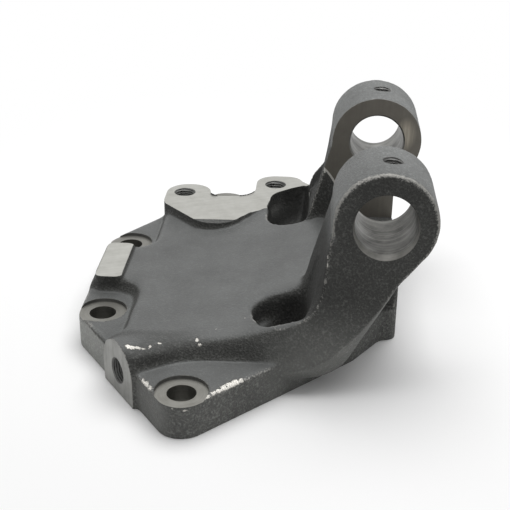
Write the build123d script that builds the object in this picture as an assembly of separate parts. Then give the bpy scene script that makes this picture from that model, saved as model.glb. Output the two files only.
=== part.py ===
# Tractor support bracket: one iron casting with a pair of pivot ears.
#
# The casting is a thick foot with four bolt holes, a raised body on it, and
# two upright arms that end in bored heads for one pivot pin. Seen from above
# the foot is the same on both sides of the plane Y = 0. The side at +Y also
# carries a machined ledge with two tapped holes, and the side at -Y has a
# tapped port in its slanting wall.
#
# Frame: X points from the low end to the arms, Y lies along the pivot pin and
# Z is up. The origin is on the machined underside, midway between the two
# outer bolt holes. Sizes are millimetres and degrees.

import os
from math import cos, hypot, radians, sin, sqrt, tan

from build123d import *

# Foot
outer_hole_y = 142.3       # outer bolt holes, either side of the middle
inner_hole_x = 62.3        # inner bolt holes, towards the low end
inner_hole_y = 52.3
bolt_hole_d = 17.0
spotface_d = 31.0
spotface_runout = 0.3      # how far a spotface cuts past the corner of the foot
flange_top = 22.5
spotface_depth = 2.0
spotface_reach = 60.0      # room for the cutter above it
past = 1.0                 # how far a cut runs past the face where it ends
side_angle = 45.0          # walls from the outer bolt holes towards the arms
relief_x = 98.0            # where those walls turn in under the arms
relief_end = 116.5
relief_r = 8.0
end_x = 126.6              # end wall between the arms
end_half = 37.5
end_corner_r = 7.0

# Body on the foot
body_top = 32.0            # level part, at the low end
rise_start_x = -30.0       # where the top starts to sweep up to the arms
rise_r = 300.0
rise_end_x = 72.0
body_wall_x = 42.0         # wall beside the inner bolt holes
body_wall_r = 16.0         # where that wall turns out to the pad
body_port_r = 10.0         # where it turns out to the port
body_edge_r = 5.0          # rolled edge of its top
body_foot_r = 3.0          # hollow where its walls meet the foot
pick_room = 0.1            # room round an edge that is picked by its place
body_front_gap = 33.7      # from the outer bolt hole at -Y to the wall beside it
shoulder_angle = 12.0      # lean of that wall where it turns out to the port
shoulder_end_x = 24.0
shoulder_depth = 30.0
body_front_r = 60.0        # where that wall turns out to the port
body_back_gap = 42.3       # the same on the ledge side, where the ledge hides it

# Pad at the low end
pad_length = 18.0
pad_width = 53.0
pad_top = 33.5
pad_x = -72.5              # its outer edge
pad_corner_r = 4.0
pad_lip = 1.5              # upright part of the wall below its outer edge

# Hollows at the roots of the arms
pocket_start_x = 36.0
pocket_end_x = 76.0        # inside the arm, whose edge closes the hollow
pocket_inner_y = 60.0
pocket_outer_y = 99.0
pocket_floor = 25.0
pocket_r = 12.0
pocket_round_r = 20.0
far_pocket_y = 46.5        # the hollow at +Y is wider and opens to the ledge
far_pocket_end_x = 60.5
far_pocket_start_x = 37.0
far_pocket_r = 22.0
far_pocket_lobe_r = 20.0   # its corner towards the ledge's second hole
far_pocket_back_r = 4.0

# Arms and heads
pivot_x = 111.7
pivot_z = 106.8
pivot_bore_d = 36.0
bore_chamfer = 1.0
bore_mouth = 0.8           # start of the outer chamfer, inside the outer face
bore_mouth_reach = 5.0
head_r = 30.3
ear_gap = 93.6             # between the machined inner faces
face_cutter_r = 41.0       # reach of the cutter that faced the ears
face_depth = 0.2           # how deep it cut below the cast skin at the top
arm_flare_y = 96.2         # outer face at the height of the pivot
arm_foot_y = 114.4         # the same face at the underside
arm_face_r = 580.0         # its hollow sweep between the two
arm_inner_draft = 1.5
arm_shoulder_drop = 2.0    # where the head's curve ends above the leaning edge
arm_lean_inner = 15.5      # edge towards the low end, from the vertical
arm_lean_outer = 5.6
arm_knee_z_inner = 60.0    # where that edge starts to sweep out to its toe
arm_knee_z_outer = 68.5
arm_toe_y = 104.0          # outer face at the toe
arm_toe_inner = 58.0
arm_toe_outer = 50.6
arm_toe_z_inner = 26.0
arm_toe_z_outer = 42.8
arm_hollow_shift = (3.6, 2.0)    # of the root hollow's edge, from inner to outer side
arm_back_angle = 40.0      # edge away from the low end, from the vertical
arm_elbow_z = 70.0
arm_root_angle = 28.0
arm_under_z = 6.0          # underside of the arm's overhang
arm_under_r = 30.0
arm_turn_y = 98.5          # from here outwards the underside slopes up
arm_turn_slope = (-1.0, 0.9)
elbow_turn_slope = (0.0, 0.25)
inner_margin = 10.0        # the arm is drawn this far past its faces, then cut
outer_margin = 1.0

# Set screw over each bore
screw_d = 10.2
screw_x = 3.0
screw_y = 71.0
screw_mouth = 1.1

# Ledge with two tapped holes
ledge_top = 38.5
ledge_hole_a = (-29.5, 29.8)     # X, and how far it lies inside the outer bolt hole
ledge_hole_b = (39.5, 8.3)
ledge_lobe_r = 17.0
ledge_lobe_b = 15.0        # round the second hole
ledge_step = 3.0           # how far the rounded outline stands off the holes' lobes
ledge_corner_r = 5.0
ledge_notch_gap = 36.3     # from the outer bolt hole to the notch that clears it
ledge_nose_x = -1.5        # its edge towards the middle comes to a blunt nose
ledge_nose_run = 35.0      # how far the nose stands out from the ends of that edge
ledge_nose_half = 9.5
ledge_nose_r = 20.0
ledge_front_gap = 10.5     # from the body's back to the ends of that edge
ledge_flat = 1.0           # short straight between two of its curves
ledge_web_x = 88.0
ledge_tap_d = 14.0
ledge_tap_mouth = 1.2

# Tapped port in the slanting wall
port_along = 62.0          # from the inner to the outer bolt hole
port_z = 15.5
port_boss_r = 20.0
port_proud = 2.8
ridge_length = 34.0        # it fades into the body's top over this length
port_tap_d = 14.5
port_depth = 30.0
port_mouth_d = 18.0
port_bore_d = 9.0
port_bore_depth = 70.0


def hole_positions():
    """Centres of the four bolt holes, on the -Y side first."""
    near = [(0, -outer_hole_y), (-inner_hole_x, -inner_hole_y)]
    return near + [(x, -y) for x, y in near]


def meet(p, u, q, v):
    """Point where the line through p along u crosses the line through q along v."""
    cross = u[0] * v[1] - u[1] * v[0]
    step = ((q[0] - p[0]) * v[1] - (q[1] - p[1]) * v[0]) / cross
    return (p[0] + step * u[0], p[1] + step * u[1])


def shifted(p, u, distance):
    return (p[0] + distance * u[0], p[1] + distance * u[1])


def rounded(before, corner, after, radius):
    """Start, middle and end of the arc that rounds one corner of an outline."""
    back = (before - corner).normalized()
    ahead = (after - corner).normalized()
    half_angle = radians(back.get_angle(ahead) / 2)
    cut = radius / tan(half_angle)
    towards_centre = (back + ahead).normalized()
    middle = corner + towards_centre * (radius / sin(half_angle) - radius)
    return corner + back * cut, middle, corner + ahead * cut


def outline(corners):
    """Flat face through corners given as (x, y, corner radius)."""
    points = [Vector(x, y) for x, y, _ in corners]
    lines = []
    arcs = []
    for index, (_, _, radius) in enumerate(corners):
        after = points[(index + 1) % len(points)]
        arcs.append(rounded(points[index - 1], points[index], after, radius))
    for index, (start, middle, end) in enumerate(arcs):
        lines.append(Line(arcs[index - 1][2], start))
        if corners[index][2] > 0:
            lines.append(ThreePointArc(start, middle, end))
    return make_face(lines)


def both_sides(half):
    """Closed list of corners from the half at -Y, given from +X round to -X."""
    return half + [(x, -y, r) for x, y, r in reversed(half)]


corner_r = spotface_d / 2 - spotface_runout
body_front_y = outer_hole_y - body_front_gap
body_back_y = outer_hole_y - body_back_gap
tap_a = (ledge_hole_a[0], outer_hole_y - ledge_hole_a[1])
tap_b = (ledge_hole_b[0], outer_hole_y - ledge_hole_b[1])
low_end_x = -(inner_hole_x + corner_r)
spotface_z = flange_top - spotface_depth
slant_length = hypot(inner_hole_x, outer_hole_y - inner_hole_y)
slant = (inner_hole_x / slant_length, (inner_hole_y - outer_hole_y) / slant_length)
slant_out = (slant[1], -slant[0])
side = (cos(radians(side_angle)), sin(radians(side_angle)))
side_point = (corner_r * side[1], -outer_hole_y - corner_r * side[0])
rise_end_z = body_top + rise_r - sqrt(rise_r**2 - (rise_end_x - rise_start_x) ** 2)


def end_corners():
    """Corners of the end wall between the arms and of the walls up to it."""
    return [
        (end_x, -end_half, end_corner_r),
        (relief_end, -end_half, relief_r),
        (*meet(side_point, side, (relief_x, 0), (0, 1)), 0),
    ]


def make_foot():
    slant_point = shifted((-inner_hole_x, -inner_hole_y), slant_out, corner_r)
    half = end_corners() + [
        (*meet(side_point, side, slant_point, slant), corner_r),
        (*meet(slant_point, slant, (low_end_x, 0), (0, 1)), corner_r),
    ]
    return extrude(outline(both_sides(half)), flange_top)


def port_point(along, out):
    """Point beside the slanting wall, from the inner bolt hole."""
    start = (-inner_hole_x, -inner_hole_y)
    return shifted(shifted(start, slant, along), slant_out, out)


def make_envelope(inner_foot, inner_top):
    """Slice at +Y under the outer face of an arm, down to the inner Y values."""
    sweep = RadiusArc((arm_foot_y, 0), (arm_flare_y, pivot_z), arm_face_r)
    tip = sweep @ 1 + (sweep % 1) * (2 * head_r)
    lines = [
        sweep,
        Line(sweep @ 1, tip),
        Line(tip, (inner_top, tip.Y)),
        Line((inner_top, tip.Y), (inner_foot, 0)),
        Line((inner_foot, 0), sweep @ 0),
    ]
    return extrude(Plane.YZ * make_face(lines), end_x * 2, both=True)


def arch_half(z):
    """Half the width of the port boss at a height."""
    return sqrt(port_boss_r**2 - (z - port_z) ** 2)


def body_rise():
    """Everything under the body's top, which sweeps up to the arms."""
    lines = [
        Line((low_end_x, 0), (low_end_x, body_top)),
        Line((low_end_x, body_top), (rise_start_x, body_top)),
        RadiusArc((rise_start_x, body_top), (rise_end_x, rise_end_z), -rise_r),
        Line((rise_end_x, rise_end_z), (end_x, rise_end_z)),
        Line((end_x, rise_end_z), (end_x, 0)),
        Line((end_x, 0), (low_end_x, 0)),
    ]
    return extrude(Plane.XZ * make_face(lines), outer_hole_y, both=True)


def make_body():
    """Raised body: its plan under a top that sweeps up to the arms."""
    inwards = (-slant_out[0], -slant_out[1])
    left_edge = port_point(port_along - arch_half(flange_top), corner_r)
    left = meet(left_edge, inwards, (-body_wall_x, 0), (0, 1))
    front_side = meet(side_point, side, (0, -arm_foot_y), (1, 0))
    pad_start_x = pad_x + pad_corner_r
    plan = outline(end_corners() + [
        (*front_side, 0),
        (*port_point(port_along, 0), 0),
        (*port_point(port_along, corner_r), 0),
        (*left_edge, 0),
        (*left, body_port_r),
        (-body_wall_x, -pad_width / 2, body_wall_r),
        (pad_start_x, -pad_width / 2, 0),
        (pad_start_x, pad_width / 2, 0),
        (-body_wall_x, pad_width / 2, body_wall_r),
        (-body_wall_x, body_back_y, 0),
        (front_side[0], body_back_y, 0),
        (front_side[0], -front_side[1], 0),
    ] + [(x, -y, r) for x, y, r in reversed(end_corners())])
    slice_y = make_envelope(0, 0)
    body = extrude(plan, pivot_z) & (slice_y + mirror(slice_y, Plane.XZ))
    return (body + make_shoulder()) & body_rise()


def in_box(edge, low, high):
    """Whether the middle of an edge lies between two corners."""
    middle = edge @ 0.5
    ends = zip(low, (middle.X, middle.Y, middle.Z), high)
    return all(least <= value <= most for least, value, most in ends)


def make_base():
    """Foot and body together, with the body's edges rolled and its foot hollow."""
    body = make_body()
    pad_side = -body_wall_x - body_wall_r
    under = body_top - pick_room
    shoulder_x = pocket_start_x + pocket_r
    back_y = body_back_y - body_edge_r
    half = arch_half(flange_top)
    side_y = port_point(port_along - half, corner_r)[1]
    port_x = port_point(port_along + half, corner_r)[0]
    front_y = 2 * body_edge_r - body_front_y
    low = ((pad_side, side_y, under), (rise_start_x - body_edge_r, back_y, pivot_z))
    front = ((port_x, -outer_hole_y, under), (shoulder_x, front_y, pivot_z))
    rolled = [e for e in body.edges() if in_box(e, *low) or in_box(e, *front)]
    base = body.fillet(body_edge_r, rolled) + make_foot()
    bottom = flange_top - pick_room
    top = flange_top + pick_room
    walls = ((pad_side, side_y, bottom), (-body_wall_x + body_foot_r, back_y, top))
    step = ((0, -body_front_y, bottom), (shoulder_x, front_y, top))
    hollow = [e for e in base.edges() if in_box(e, *walls) or in_box(e, *step)]
    return base.fillet(body_foot_r, hollow)


def blend(inner, outer, share):
    return inner + (outer - inner) * share


def arm_edge(share):
    """Shoulder, knee and toe of the edge towards the low end, and the way it falls.

    The share runs from 0 at the inner face to 1 at the outer face.
    """
    lean = radians(blend(arm_lean_inner, arm_lean_outer, share))
    down = Vector(-sin(lean), -cos(lean))
    shoulder = Vector(pivot_x - head_r, pivot_z - arm_shoulder_drop)
    knee_z = blend(arm_knee_z_inner, arm_knee_z_outer, share)
    knee = shoulder + down * ((shoulder.Y - knee_z) / cos(lean))
    toe_x = blend(arm_toe_inner, arm_toe_outer, share)
    toe = Vector(toe_x, blend(arm_toe_z_inner, arm_toe_z_outer, share))
    return shoulder, knee, toe, down


def arm_section(y):
    """Arm outline at one distance from the middle, as a face across Y.

    Its edge towards the low end leans more at the inner face than at the outer
    face. Its underside slopes up towards the outer face.
    """
    share = (y - ear_gap / 2) / (arm_toe_y - ear_gap / 2)
    shoulder, knee, toe, down = arm_edge(share)
    top = Vector(pivot_x, pivot_z)
    back = radians(arm_back_angle)
    leave = top + Vector(cos(back), -sin(back)) * head_r
    run = Vector(-sin(back), -cos(back))
    elbow = leave + run * ((leave.Y - arm_elbow_z) / cos(back))
    fall = Vector(-sin(radians(arm_root_angle)), -cos(radians(arm_root_angle)))
    heel = elbow + fall * ((arm_under_z - elbow.Y) / fall.Y)
    turned = max(0, y - arm_turn_y)
    sideways = turned * Vector(*arm_turn_slope)
    bend = [sideways + p for p in rounded(elbow, heel, heel - Vector(1, 0), arm_under_r)]
    elbow = elbow + turned * Vector(*elbow_turn_slope)
    below_toe = Vector(toe.X, bend[2].Y)
    lines = [
        ThreePointArc(shoulder, top + Vector(0, head_r), leave),
        Line(leave, elbow),
        Line(elbow, bend[0]),
        ThreePointArc(*bend),
        Line(bend[2], below_toe),
        Line(below_toe, toe),
        TangentArc(knee, toe, tangent=down),
        Line(knee, shoulder),
    ]
    return Plane.XZ.offset(-y) * make_face(lines)


def make_arm():
    """The arm at +Y, with its head."""
    stations = (ear_gap / 2 - inner_margin, arm_turn_y, arm_foot_y + outer_margin)
    reach = loft([arm_section(y) for y in stations], ruled=True)
    inner_cast = ear_gap / 2 - face_depth
    lean = tan(radians(arm_inner_draft))
    foot_y = inner_cast - lean * (pivot_z + head_r)
    arm = reach & make_envelope(foot_y, inner_cast + lean * head_r)
    cutter = Pos(pivot_x, 0, pivot_z) * Rot(X=-90) * Cylinder(face_cutter_r, ear_gap)
    return arm - cutter - make_arm_hollow()


def hollow_section(y, knee, toe, down):
    """Side of the arm's root hollow at one distance from the middle."""
    low = Vector(toe.X, pocket_floor)
    far_low = Vector(pocket_start_x, pocket_floor)
    far_high = Vector(pocket_start_x, knee.Y)
    lines = [
        TangentArc(knee, toe, tangent=down),
        Line(toe, low),
        Line(low, far_low),
        Line(far_low, far_high),
        Line(far_high, knee),
    ]
    return Plane.XZ.offset(-y) * make_face(lines)


def make_arm_hollow():
    """What the hollow at its root takes from the arm's toe, up to the outer rim."""
    knee, toe, down = arm_edge(0)[1:]
    outer_knee = knee + Vector(*arm_hollow_shift)
    outer_toe = toe + Vector(arm_hollow_shift[0], 0)
    start = hollow_section(ear_gap / 2, knee, toe, down)
    end = hollow_section(pocket_outer_y, outer_knee, outer_toe, down)
    inner = extrude(start, inner_margin)
    return loft([start, end], ruled=True) + inner


def make_ledge():
    """Machined ledge at +Y that carries the two tapped holes."""
    ax, ay = tap_a
    bx, by = tap_b
    notch_y = outer_hole_y - ledge_notch_gap
    left = ax - ledge_lobe_r + ledge_step
    near_right = ax + ledge_lobe_r + ledge_step
    far_left = bx - ledge_lobe_b
    far_right = bx + ledge_lobe_b + ledge_step
    front_end = body_back_y - ledge_front_gap
    nose_y = front_end - ledge_nose_run
    plan = outline([
        (left, ay - ledge_lobe_r, ledge_corner_r),
        (left, ay + ledge_lobe_r, ledge_lobe_r),
        (near_right, ay + ledge_lobe_r, ledge_lobe_r - ledge_flat),
        (near_right, notch_y, ledge_corner_r),
        (far_left, notch_y + ledge_step, ledge_lobe_b - ledge_flat),
        (far_left, by + ledge_lobe_b + ledge_step, ledge_lobe_b),
        (far_right, by + ledge_lobe_b + ledge_step, ledge_lobe_b - ledge_step),
        (far_right + ledge_step, by + ledge_lobe_b / 2, ledge_corner_r),
        (ledge_web_x, arm_foot_y, pocket_r),
        (ledge_web_x, front_end, 0),
        (pocket_start_x, front_end, ledge_corner_r),
        (ledge_nose_x + ledge_nose_half, nose_y, ledge_nose_r),
        (ledge_nose_x - ledge_nose_half, nose_y, ledge_nose_r),
        (-body_wall_x, front_end, body_edge_r),
    ])
    return extrude(plan, ledge_top)


def arch(plane, radius):
    """Upright arch on a plane, from the underside to its round top."""
    foot = Vector(radius, 0)
    spring = Vector(radius, port_z)
    lines = [
        Line(-foot, foot),
        Line(foot, spring),
        ThreePointArc(spring, (0, port_z + radius), (-radius, port_z)),
        Line((-radius, port_z), -foot),
    ]
    return plane * make_face(lines)


def make_port_boss():
    """Arched boss round the tapped port, run down to the underside."""
    face = port_point(port_along, corner_r + port_proud)
    back = port_point(port_along, corner_r + port_proud - ridge_length)
    planes = [Plane(origin=(*p, 0), x_dir=(*slant, 0), z_dir=(*slant_out, 0)) for p in (face, back)]
    fading_r = body_top - port_z
    return loft([arch(planes[0], port_boss_r), arch(planes[1], fading_r)], ruled=True)


def shoulder_plan(height):
    """Plan of the shoulder at a height over the foot, whose outer wall leans back."""
    back = height * tan(radians(shoulder_angle))
    start = port_point(port_along + arch_half(flange_top) - back, corner_r)
    inwards = (-slant_out[0], -slant_out[1])
    front_y = back - body_front_y
    inner = port_point(port_along, -shoulder_depth)
    plan = outline([
        (*start, 0),
        (*meet(start, inwards, (0, front_y), (1, 0)), body_front_r + back),
        (shoulder_end_x, front_y, 0),
        (shoulder_end_x, inner[1], 0),
        (*inner, 0),
        (*port_point(port_along, corner_r), 0),
    ])
    return Pos(0, 0, flange_top + height) * plan


def make_shoulder():
    """Wall of the body that turns out from the arm to the port, leaning back."""
    height = rise_end_z + past - flange_top
    wall = loft([shoulder_plan(0), shoulder_plan(height)], ruled=True)
    return wall + extrude(Pos(0, 0, -flange_top) * shoulder_plan(0), flange_top)


def make_pad():
    """Small machined pad on the low end, with its sloping outer wall."""
    middle = pad_x + pad_length / 2
    pad = extrude(Pos(middle, 0) * RectangleRounded(pad_length, pad_width, pad_corner_r), pad_top)
    slope = outline([
        (low_end_x, 0, 0),
        (low_end_x, flange_top, 0),
        (pad_x, pad_top - pad_lip, 0),
        (pad_x + pad_corner_r, pad_top - pad_lip, 0),
        (pad_x + pad_corner_r, 0, 0),
    ])
    return pad + extrude(Plane.XZ * slope, pad_width / 2 - pad_corner_r, both=True)


def pocket(corners):
    return Pos(0, 0, pocket_floor) * extrude(outline(corners), pivot_z)


def make_near_pocket():
    """Hollow at the root of the arm at -Y, closed on its outer side by a rim."""
    return pocket([
        (pocket_start_x, -pocket_outer_y, pocket_round_r),
        (pocket_end_x, -pocket_outer_y, 0),
        (pocket_end_x, -pocket_inner_y, 0),
        (pocket_start_x, -pocket_inner_y, pocket_r),
    ])


def make_far_pocket():
    """Wider hollow at the root of the arm at +Y, which opens to the ledge."""
    return pocket([
        (far_pocket_start_x, far_pocket_y, far_pocket_r),
        (pocket_end_x, far_pocket_y, 0),
        (pocket_end_x, arm_toe_y, 0),
        (far_pocket_end_x, arm_toe_y, 0),
        (far_pocket_end_x, tap_b[1], far_pocket_back_r),
        (far_pocket_start_x, tap_b[1] - far_pocket_lobe_r, far_pocket_lobe_r),
    ])


def make_toe_cut():
    """Where that hollow passes in front of the arm's toe."""
    return pocket([
        (pocket_start_x, far_pocket_y, 0),
        (far_pocket_end_x, far_pocket_y, 0),
        (far_pocket_end_x, tap_b[1], 0),
        (pocket_start_x, tap_b[1], 0),
    ])


def upright(x, y, z, radius, height):
    """Cylinder that stands on the point given."""
    return Pos(x, y, z) * Cylinder(radius, height, align=(Align.CENTER, Align.CENTER, Align.MIN))


def make_bolt_holes():
    cuts = []
    for x, y in hole_positions():
        cuts.append(upright(x, y, -past, bolt_hole_d / 2, flange_top + 2 * past))
        cuts.append(upright(x, y, spotface_z, spotface_d / 2, spotface_reach))
    return cuts


def make_ledge_holes():
    """Tapped holes through the ledge, with a small countersink."""
    cuts = []
    for x, y in (tap_a, tap_b):
        radius = ledge_tap_d / 2
        cuts.append(upright(x, y, -past, radius, ledge_top + 2 * past))
        mouth = Cone(radius, radius + ledge_tap_mouth, ledge_tap_mouth)
        cuts.append(Pos(x, y, ledge_top - ledge_tap_mouth / 2) * mouth)
    return cuts


def across(y, radius, length):
    """Cylinder on the pivot axis, centred on y."""
    return Pos(pivot_x, y, pivot_z) * Rot(X=90) * Cylinder(radius, length)


def widening(y, pointing, reach):
    """45 degree cone on the pivot axis that widens from the bore's edge at y."""
    radius = pivot_bore_d / 2
    cone = Cone(radius, radius + reach, reach)
    return Pos(pivot_x, y + pointing * reach / 2, pivot_z) * Rot(X=-90 * pointing) * cone


def make_bores():
    """Pivot bore through both heads, and the set screw hole over each."""
    cuts = [across(0, pivot_bore_d / 2, 3 * arm_foot_y)]
    head_top = pivot_z + head_r
    mouth = Cone(screw_d / 2, screw_d / 2 + 2 * screw_mouth, 2 * screw_mouth)
    for hand in (-1, 1):
        cuts.append(widening(hand * (ear_gap / 2 + bore_chamfer), -hand, bore_chamfer))
        cuts.append(widening(hand * (arm_flare_y - bore_mouth), hand, bore_mouth_reach))
        cuts.append(upright(pivot_x + screw_x, hand * screw_y, pivot_z, screw_d / 2, 2 * head_r))
        cuts.append(Pos(pivot_x + screw_x, hand * screw_y, head_top) * mouth)
    return cuts


def make_port():
    """Stepped blind hole from the face of the port boss."""
    face = port_point(port_along, corner_r + port_proud)
    plane = Plane(origin=(*face, port_z), z_dir=(*slant_out, 0))
    top = (Align.CENTER, Align.CENTER, Align.MAX)
    mouth = port_mouth_d / 2
    tap = port_tap_d / 2
    return [
        plane * Cylinder(tap, port_depth, align=top),
        plane * Cone(tap, mouth, mouth - tap, align=top),
        plane * Cylinder(port_bore_d / 2, port_bore_depth, align=top),
    ]


def make_bracket():
    arm = make_arm()
    far_pocket = make_far_pocket()
    base = make_base() - make_near_pocket() - far_pocket
    casting = base + mirror(arm, Plane.XZ) + (arm - make_toe_cut())
    casting = casting + (make_ledge() - far_pocket)
    casting = casting + make_pad() + make_port_boss()
    cuts = make_bolt_holes() + make_ledge_holes() + make_bores() + make_port()
    return casting - cuts


bracket = make_bracket()
bracket.label = "bracket"
os.makedirs("parts", exist_ok=True)
export_step(bracket, "parts/bracket.step")
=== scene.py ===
# Tractor support bracket: the looks of one iron casting. The CAD solid gives the shape. A copy of
# it is rounded as a casting is, and then its machined faces, bores and threads are cut into it
# again, crisp. Shapes are worked out in millimetres, and meshOf turns them into metres.

import math

import bmesh
import bpy
import numpy as np
from mathutils import Matrix


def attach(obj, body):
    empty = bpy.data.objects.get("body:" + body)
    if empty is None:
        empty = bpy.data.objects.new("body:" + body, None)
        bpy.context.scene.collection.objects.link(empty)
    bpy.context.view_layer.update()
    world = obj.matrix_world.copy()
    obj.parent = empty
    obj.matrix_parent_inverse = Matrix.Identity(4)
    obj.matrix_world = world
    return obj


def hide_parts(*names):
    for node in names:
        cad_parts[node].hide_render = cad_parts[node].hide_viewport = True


mm = 0.001

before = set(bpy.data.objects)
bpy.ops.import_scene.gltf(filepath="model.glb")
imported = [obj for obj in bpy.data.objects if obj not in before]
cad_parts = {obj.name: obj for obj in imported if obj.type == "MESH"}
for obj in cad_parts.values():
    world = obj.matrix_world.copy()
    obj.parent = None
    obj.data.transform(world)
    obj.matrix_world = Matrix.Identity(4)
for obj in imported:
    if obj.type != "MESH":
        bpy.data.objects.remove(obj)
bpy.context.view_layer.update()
print("frame loaded")

# Camera first: it stands where the photograph's camera stood. Its place is in millimetres, and
# its three directions are the picture's right, its down and its depth.
shot = {
    "place": (71.33, -644.44, 347.24),
    "right": (0.99784746, 0.06501715, 0.00855669),
    "down": (0.03563235, -0.42801579, -0.90306856),
    "ahead": (-0.05505254, 0.90142956, -0.42941118),
    "lens": 74.96,
    "sensor": 36.0,
    "near": 0.05,            # metres
    "far": 20.0,
}


def makeCamera():
    data = bpy.data.cameras.new("camera")
    data.lens = shot["lens"]
    data.sensor_width = shot["sensor"]
    data.clip_start = shot["near"]
    data.clip_end = shot["far"]
    camera = bpy.data.objects.new("camera", data)
    bpy.context.scene.collection.objects.link(camera)
    matrix = np.eye(4)
    matrix[:3, 0] = shot["right"]
    matrix[:3, 1] = -np.array(shot["down"])
    matrix[:3, 2] = -np.array(shot["ahead"])
    matrix[:3, 3] = np.array(shot["place"]) * mm
    camera.matrix_world = Matrix(matrix.tolist())
    bpy.context.scene.camera = camera


makeCamera()

# Sizes and places that the CAD part gives, in millimetres, with the threads that it leaves out.
# A place on the port's axis is measured outwards from the line between the bolt holes.
cast = {
    "boltHoles": [(0.0, -142.3), (0.0, 142.3), (-62.3, -52.3), (-62.3, 52.3)],
    "boltHoleR": 8.5,
    "spotfaceR": 15.5,
    "spotfaceZ": 20.5,
    "cornerR": 15.2,         # the flange's round corner about an outer bolt hole
    "flangeTop": 22.5,
    "pivotX": 111.7,
    "pivotZ": 106.8,
    "boreR": 18.0,
    "headR": 30.3,
    "earFaceY": 46.8,        # machined inner face of each arm
    "earChamfer": 1.0,
    "mouthY": 95.4,          # where the bore's outer chamfer starts
    "flareY": 96.2,          # outer face of each arm at the pivot's height, and at its foot
    "footY": 114.4,
    "faceR": 580.0,
    "ledgeTop": 38.5,
    "padTop": 33.5,
    "taps": [(-29.5, 112.5), (39.5, 134.0)],
    "tapR": 7.0,
    "tapCrest": 8.0,
    "tapPitch": 2.0,
    "screwX": 114.7,
    "screwY": 71.0,
    "screwR": 5.1,
    "screwCrest": 6.0,
    "screwPitch": 1.75,
    "portAlong": 62.0,       # from the inner bolt hole towards the outer one
    "portZ": 15.5,
    "portFace": 18.0,
    "portR": 7.25,
    "portCrest": 8.0,
    "portPitch": 1.5,
    "portDepth": 30.0,
    "drillR": 4.5,
    "drillDepth": 70.0,
}
up = (0, 0, 1)

outerHole = np.array(cast["boltHoles"][0])
innerHole = np.array(cast["boltHoles"][2])
along = (outerHole - innerHole) / np.linalg.norm(outerHole - innerHole)
outward = np.array([along[1], -along[0]])           # out of the slanting wall
portFoot = innerHole + along * cast["portAlong"]
portAxis = np.array([outward[0], outward[1], 0.0])
portPlace = np.array([*portFoot, cast["portZ"]])


# Rows of points round an axis: row i is a ring of radius[i] at step[i] along the axis.
def ringsAlong(start, axis, step, radius, columns=64):
    axis = np.asarray(axis, float) / np.linalg.norm(axis)
    side = np.cross(axis, (0.0, 0.0, 1.0) if abs(axis[2]) < 0.9 else (0.0, 1.0, 0.0))
    side /= np.linalg.norm(side)
    other = np.cross(axis, side)
    angle = np.arange(columns) * 2 * np.pi / columns
    ring = np.cos(angle)[:, None] * side + np.sin(angle)[:, None] * other
    step = np.asarray(step, float)
    radius = np.asarray(radius, float)
    if radius.ndim == 1:
        radius = radius[:, None]
    radius = np.broadcast_to(radius, (len(step), columns))
    centre = np.asarray(start, float) + step[:, None] * axis
    return centre[:, None, :] + radius[:, :, None] * ring


# Closed shell over those rows, with a fan of triangles at each end.
def closeRings(rows):
    count, columns = rows.shape[:2]
    points = rows.reshape(-1, 3)
    j = np.arange(columns)
    k = (j + 1) % columns
    base = (np.arange(count - 1) * columns)[:, None]
    a, b = (base + j).ravel(), (base + k).ravel()
    c, d = a + columns, b + columns
    end = (count - 1) * columns
    low, high = len(points), len(points) + 1
    points = np.vstack([points, points[:columns].mean(0), points[end:].mean(0)])
    fans = [np.c_[np.full(columns, low), k, j], np.c_[np.full(columns, high), end + j, end + k]]
    return points, np.vstack([np.c_[a, b, d], np.c_[a, d, c], *fans])


# Cylinder or cone from one point along an axis.
def roundBar(start, axis, step, radius, columns=96):
    return closeRings(ringsAlong(start, axis, step, radius, columns))


# Tap's own shape: radius = root + (crest - root) * wave of (step / pitch - turn), so the wave
# climbs one pitch in each turn, and never less than the mouth's cone. A width below 1 makes
# the crest wider than the root.
def tapShape(start, axis, first, last, root, crest, pitch, mouth, columns=40, steps=6, width=0.8):
    count = int(round((last - first) / pitch * steps)) + 1
    step = np.linspace(first, last, count)
    turn = np.arange(columns) / columns
    wave = 0.5 + 0.5 * np.cos(2 * np.pi * (step[:, None] / pitch - turn[None, :]))
    radius = root + (crest - root) * wave ** width
    radius = np.maximum(radius, mouth(step)[:, None])
    return closeRings(ringsAlong(start, axis, step, radius, columns))


# The arm's outer face seen along X: an arc of radius faceR through its foot and the pivot's
# height, hollow outwards, and above the pivot the straight line that goes on from it.
def outerFaceY(z):
    foot, flare, top = cast["footY"], cast["flareY"], cast["pivotZ"]
    chord = math.hypot(foot - flare, top)
    reach = math.sqrt(cast["faceR"] ** 2 - chord ** 2 / 4)
    centreY = (foot + flare) / 2 + top / chord * reach
    centreZ = top / 2 + (foot - flare) / chord * reach
    arc = centreY - np.sqrt(cast["faceR"] ** 2 - (np.minimum(z, top) - centreZ) ** 2)
    slope = (top - centreZ) / (centreY - flare)
    return arc + np.maximum(z - top, 0) * slope


# Slab on a flat face: the face's triangles moved along its normal by low and by high, joined by
# a wall along every edge that only one of them uses. Its triangles are those that face the
# direction and lie near the level.
def slabOn(points, triangles, normals, direction, level, low, high, facing=0.999, near=0.03):
    direction = np.asarray(direction, float)
    height = points[triangles] @ direction
    flat = (normals @ direction > facing) & (abs(height - level).max(1) < near)
    chosen = triangles[flat]
    used, index = np.unique(chosen, return_inverse=True)
    index = index.reshape(-1, 3)
    count = len(used)
    edges = np.vstack([index[:, [0, 1]], index[:, [1, 2]], index[:, [2, 0]]])
    code, back = edges[:, 0] * count + edges[:, 1], edges[:, 1] * count + edges[:, 0]
    a, b = edges[~np.isin(code, back)].T
    verts = np.vstack([points[used] + direction * low, points[used] + direction * high])
    faces = [index + count, index[:, ::-1], np.c_[a, b, b + count], np.c_[a, b + count, a + count]]
    return verts, np.vstack(faces)


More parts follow.
